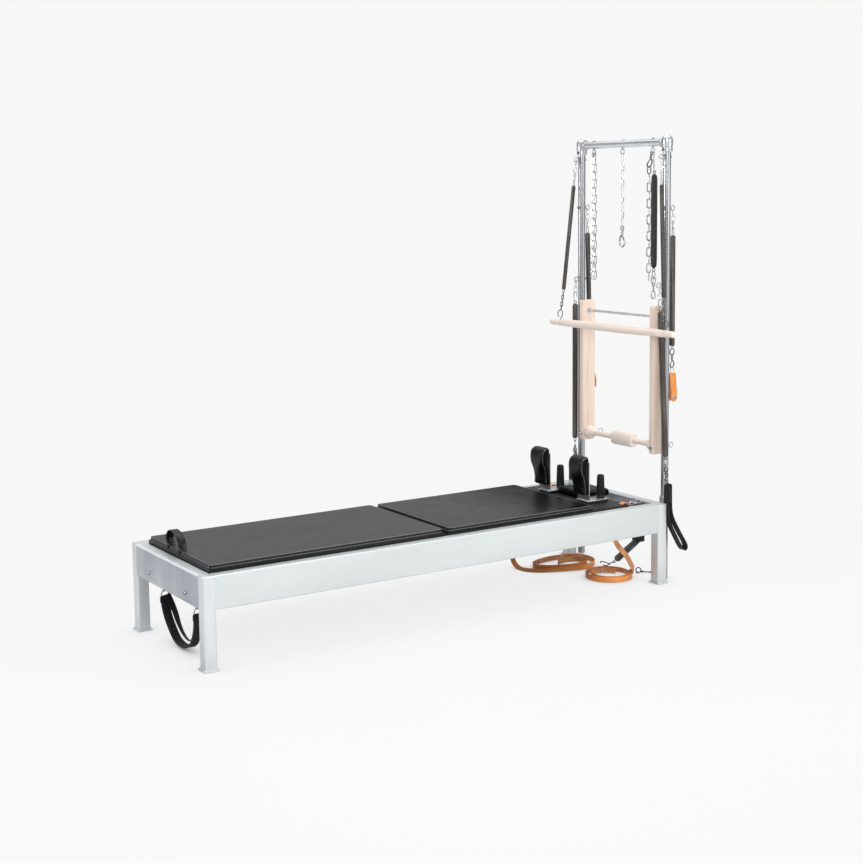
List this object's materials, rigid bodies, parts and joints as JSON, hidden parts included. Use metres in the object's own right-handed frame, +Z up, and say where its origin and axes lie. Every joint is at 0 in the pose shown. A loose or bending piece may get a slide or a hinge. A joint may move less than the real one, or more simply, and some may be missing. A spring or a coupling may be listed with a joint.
{
  "type": "pilates reformer",
  "caption": "Aluminium-framed pilates reformer with mat, sliding carriage, shoulder rests and a spring tower with roll-down and push-through bars.",
  "frame": {"origin": "on the floor at the middle of the footprint, leather straps left out", "axes": "+X towards the tower at the head end, +Y towards the far side, +Z up"},
  "size_m": [2.414, 0.88, 2.015],
  "materials": {
    "aluminium": "satin, silver",
    "galvanised": "galvanised tube",
    "bright_metal": "bright zinc",
    "vinyl": "black upholstery vinyl",
    "rubber": "black, matt",
    "dark_steel": "oiled dark spring steel",
    "wood": "pale sanded maple",
    "leather": "orange-tan harness leather",
    "webbing": "black webbing"
  },
  "bodies": {
    "frame": {"side_rail_near": "aluminium", "side_rail_far": "aluminium", "track_near": "aluminium", "track_far": "aluminium", "end_rail_foot": "aluminium", "end_rail_head": "aluminium", "leg_foot_near": "aluminium", "leg_foot_far": "aluminium", "leg_head_near": "aluminium", "leg_head_far": "aluminium", "spring_bar": "dark_steel", "upright_near": "galvanised", "upright_far": "galvanised", "elbow_near": "galvanised", "elbow_far": "galvanised", "upright_clamp_near": "galvanised", "upright_clamp_far": "galvanised", "crossbar": "galvanised", "carriage_spring": "dark_steel", "strap_near": "leather", "strap_far": "leather"},
    "foot_strap": {"foot_strap": "webbing"},
    "mat": {"mat": "vinyl", "mat_handle": "webbing"},
    "carriage": {"carriage_frame": "rubber", "carriage_pad": "vinyl", "shoulder_rest_near": "vinyl", "shoulder_rest_far": "vinyl", "shoulder_bracket_near": "bright_metal", "shoulder_bracket_far": "bright_metal", "post_near": "rubber", "post_far": "rubber"},
    "headrest": {"headrest": "vinyl"},
    "wheel_foot_near": {"wheel_foot_near": "rubber"},
    "wheel_foot_far": {"wheel_foot_far": "rubber"},
    "wheel_head_near": {"wheel_head_near": "rubber"},
    "wheel_head_far": {"wheel_head_far": "rubber"},
    "roll_down_springs": {"roll_down_spring_near": "dark_steel", "roll_down_spring_far": "dark_steel"},
    "roll_down_bar": {"roll_down_bar": "wood"},
    "arm_near": {"arm_spring_near": "dark_steel", "hand_loop_near": "leather"},
    "arm_far": {"arm_spring_far": "dark_steel", "hand_loop_far": "leather"},
    "leg_near": {"leg_spring_near": "dark_steel", "foot_loop_near": "webbing"},
    "leg_far": {"leg_spring_far": "dark_steel", "foot_loop_far": "webbing"},
    "chain_far": {"chain_far": "bright_metal"},
    "chain_middle": {"chain_middle": "bright_metal"},
    "chain_near": {"chain_near": "bright_metal", "sleeved_spring": "rubber"},
    "push_through": {"swing_board_near": "wood", "swing_board_far": "wood", "swing_rod": "bright_metal", "foot_bar": "wood", "board_eyebolt_near": "bright_metal", "board_eyebolt_far": "bright_metal"}
  },
  "joints": [
    {"name": "foot_strap_swing", "type": "hinge", "parent": "frame", "child": "foot_strap", "pos_m": [-1.1415, 0, 0.205], "axis": [0, 1, 0], "range_deg": [-25, 25]},
    {"name": "mat_lift", "type": "slide", "parent": "frame", "child": "mat", "axis": [0, 0, 1], "range_m": [0, 0.3]},
    {"name": "carriage_slide", "type": "slide", "parent": "frame", "child": "carriage", "axis": [1, 0, 0], "range_m": [0, 0.06]},
    {"name": "headrest_tilt", "type": "hinge", "parent": "carriage", "child": "headrest", "pos_m": [0.7975, 0, 0.3743], "axis": [0, -1, 0], "range_deg": [0, 40]},
    {"name": "wheel_foot_near_spin", "type": "hinge", "parent": "carriage", "child": "wheel_foot_near", "pos_m": [0.0515, -0.27865, 0.3263], "axis": [0, 1, 0], "range_deg": [0, 261]},
    {"name": "wheel_foot_far_spin", "type": "hinge", "parent": "carriage", "child": "wheel_foot_far", "pos_m": [0.0515, 0.27865, 0.3263], "axis": [0, 1, 0], "range_deg": [0, 261]},
    {"name": "wheel_head_near_spin", "type": "hinge", "parent": "carriage", "child": "wheel_head_near", "pos_m": [0.7615, -0.27865, 0.3263], "axis": [0, 1, 0], "range_deg": [0, 261]},
    {"name": "wheel_head_far_spin", "type": "hinge", "parent": "carriage", "child": "wheel_head_far", "pos_m": [0.7615, 0.27865, 0.3263], "axis": [0, 1, 0], "range_deg": [0, 261]},
    {"name": "roll_down_swing", "type": "hinge", "parent": "frame", "child": "roll_down_springs", "pos_m": [1.0785, 0, 1.919], "axis": [0, 1, 0], "range_deg": [0, 60]},
    {"name": "roll_down_bar_spin", "type": "hinge", "parent": "roll_down_springs", "child": "roll_down_bar", "pos_m": [1.0395, 0, 1.142], "axis": [0, 1, 0], "continuous": true},
    {"name": "arm_spring_near_swing", "type": "hinge", "parent": "frame", "child": "arm_near", "pos_m": [1.1485, -0.303, 1.693], "axis": [0, -1, 0], "range_deg": [0, 60]},
    {"name": "arm_spring_far_swing", "type": "hinge", "parent": "frame", "child": "arm_far", "pos_m": [1.1485, 0.303, 1.693], "axis": [0, -1, 0], "range_deg": [0, 60]},
    {"name": "leg_spring_near_swing", "type": "hinge", "parent": "frame", "child": "leg_near", "pos_m": [1.0685, -0.308, 1.352], "axis": [-1, 0, 0], "range_deg": [0, 40]},
    {"name": "leg_spring_far_swing", "type": "hinge", "parent": "frame", "child": "leg_far", "pos_m": [1.0805, 0.308, 1.352], "axis": [1, 0, 0], "range_deg": [0, 40]},
    {"name": "chain_far_swing", "type": "hinge", "parent": "frame", "child": "chain_far", "pos_m": [1.1135, 0.209, 1.949], "axis": [0, 1, 0], "range_deg": [-30, 30]},
    {"name": "chain_middle_swing", "type": "hinge", "parent": "frame", "child": "chain_middle", "pos_m": [1.1135, 0.003, 1.949], "axis": [0, 1, 0], "range_deg": [-30, 30]},
    {"name": "chain_near_swing", "type": "hinge", "parent": "frame", "child": "chain_near", "pos_m": [1.1135, -0.205, 1.949], "axis": [0, 1, 0], "range_deg": [-30, 30]},
    {"name": "push_through_swing", "type": "hinge", "parent": "frame", "child": "push_through", "pos_m": [1.1095, 0, 1.205], "axis": [0, -1, 0], "range_deg": [0, 80]}
  ],
  "couplings": [
    {"joint": "wheel_foot_near_spin", "follows": "carriage_slide", "rad_per_m": 45.455},
    {"joint": "wheel_foot_far_spin", "follows": "carriage_slide", "rad_per_m": 45.455},
    {"joint": "wheel_head_near_spin", "follows": "carriage_slide", "rad_per_m": 45.455},
    {"joint": "wheel_head_far_spin", "follows": "carriage_slide", "rad_per_m": 45.455}
  ]
}
